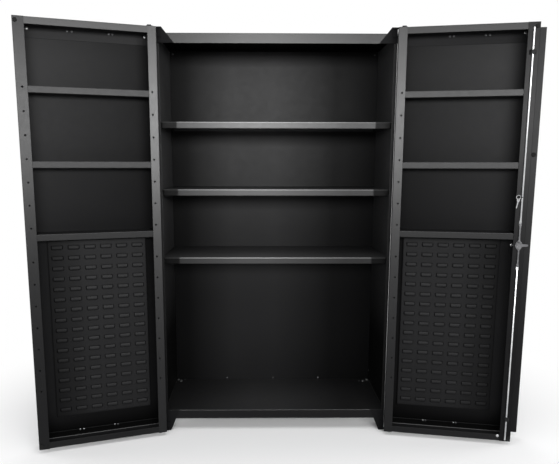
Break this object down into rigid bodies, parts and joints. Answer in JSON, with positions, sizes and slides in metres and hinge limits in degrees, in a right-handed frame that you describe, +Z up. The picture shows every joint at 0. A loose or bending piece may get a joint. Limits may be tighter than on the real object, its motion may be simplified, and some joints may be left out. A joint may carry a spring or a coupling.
{
  "type": "storage cabinet",
  "caption": "Upright black steel storage cabinet with deep pivot-hung doors, body shelves, door shelves, louvered panels for hanging bins, and a rod latch.",
  "frame": {"origin": "on the floor, under the middle of the part's box with both doors open as stored", "axes": "+X along the cabinet's width to the right as seen from the front, +Y from the front to the back, +Z up"},
  "size_m": [2.3766, 0.7236, 1.9812],
  "materials": {
    "black_paint": "semi-gloss black powder coat",
    "bright_steel": "bright zinc plated steel",
    "dark_steel": "dark plated steel",
    "black_plastic": "black moulded plastic",
    "black_rubber": "black rubber"
  },
  "bodies": {
    "cabinet": {"side_panel_left": "black_paint", "side_panel_right": "black_paint", "back_panel": "black_paint", "top_panel": "black_paint", "bottom_panel": "black_paint", "ear_gusset_left": "black_paint", "ear_gusset_right": "black_paint", "leg_gusset_left": "black_paint", "leg_gusset_right": "black_paint", "shelf_upper": "black_paint", "shelf_middle": "black_paint", "shelf_lower": "black_paint", "shelf_bracket_upper_left": "black_paint", "shelf_bracket_upper_right": "black_paint", "shelf_bracket_middle_left": "black_paint", "shelf_bracket_middle_right": "black_paint", "shelf_bracket_lower_left": "black_paint", "shelf_bracket_lower_right": "black_paint", "pivot_bracket_top_left": "black_paint", "pivot_bracket_top_right": "black_paint", "pivot_bracket_bottom_left": "black_paint", "pivot_bracket_bottom_right": "black_paint", "pivot_pin_top_left": "bright_steel", "pivot_pin_top_right": "bright_steel", "pivot_pin_bottom_left": "bright_steel", "pivot_pin_bottom_right": "bright_steel"},
    "left_door": {"door_skin_left": "black_paint", "hinge_stile_left": "black_paint", "free_stile_left": "black_paint", "top_channel_left": "black_paint", "bottom_channel_left": "black_paint", "door_shelf_upper_left": "black_paint", "door_shelf_middle_left": "black_paint", "door_shelf_lower_left": "black_paint", "louver_panel_left": "black_paint", "bumper_top_left": "black_rubber", "bumper_bottom_left": "black_rubber"},
    "right_door": {"door_skin_right": "black_paint", "hinge_stile_right": "black_paint", "free_stile_right": "black_paint", "top_channel_right": "black_paint", "bottom_channel_right": "black_paint", "door_shelf_upper_right": "black_paint", "door_shelf_middle_right": "black_paint", "door_shelf_lower_right": "black_paint", "louver_panel_right": "black_paint", "bumper_top_right": "black_rubber", "bumper_bottom_right": "black_rubber", "astragal_strip": "black_paint", "rod_guide_upper": "black_plastic", "rod_guide_lower": "black_plastic", "handle_escutcheon": "dark_steel"},
    "handle": {"handle_lever": "dark_steel", "spindle": "bright_steel", "latch_cam": "dark_steel"},
    "upper_rod": {"upper_rod": "bright_steel"},
    "upper_link": {"upper_link": "dark_steel"},
    "lower_rod": {"lower_rod": "bright_steel"},
    "lower_link": {"lower_link": "dark_steel"}
  },
  "joints": [
    {"name": "left_door_swing", "type": "hinge", "parent": "cabinet", "child": "left_door", "pos_m": [-0.61444, -0.13919, 1], "axis": [0, 0, 1], "range_deg": [-7.5, 161]},
    {"name": "right_door_swing", "type": "hinge", "parent": "cabinet", "child": "right_door", "pos_m": [0.55176, -0.13919, 1], "axis": [0, 0, 1], "range_deg": [-168.5, 0]},
    {"name": "handle_turn", "type": "hinge", "parent": "right_door", "child": "handle", "pos_m": [1.0864, -0.28011, 0.987], "axis": [0.1994, 0.9799, 0], "range_deg": [0, 90]},
    {"name": "upper_rod_slide", "type": "slide", "parent": "right_door", "child": "upper_rod", "axis": [0, 0, 1], "range_m": [-0.0178, 0]},
    {"name": "lower_rod_slide", "type": "slide", "parent": "right_door", "child": "lower_rod", "axis": [0, 0, 1], "range_m": [0, 0.0178]},
    {"name": "upper_link_swing", "type": "hinge", "parent": "upper_rod", "child": "upper_link", "pos_m": [1.08534, -0.2853, 1.081], "axis": [0.1994, 0.9799, 0], "range_deg": [-12, 0]},
    {"name": "lower_link_swing", "type": "hinge", "parent": "lower_rod", "child": "lower_link", "pos_m": [1.08534, -0.2853, 0.893], "axis": [0.1994, 0.9799, 0], "range_deg": [-12, 0]}
  ],
  "couplings": [
    {"joint": "upper_rod_slide", "follows": "handle_turn", "m_per_rad": -0.01127},
    {"joint": "lower_rod_slide", "follows": "handle_turn", "m_per_rad": 0.01127},
    {"joint": "upper_link_swing", "follows": "handle_turn", "ratio": -0.1315},
    {"joint": "lower_link_swing", "follows": "handle_turn", "ratio": -0.1315}
  ]
}
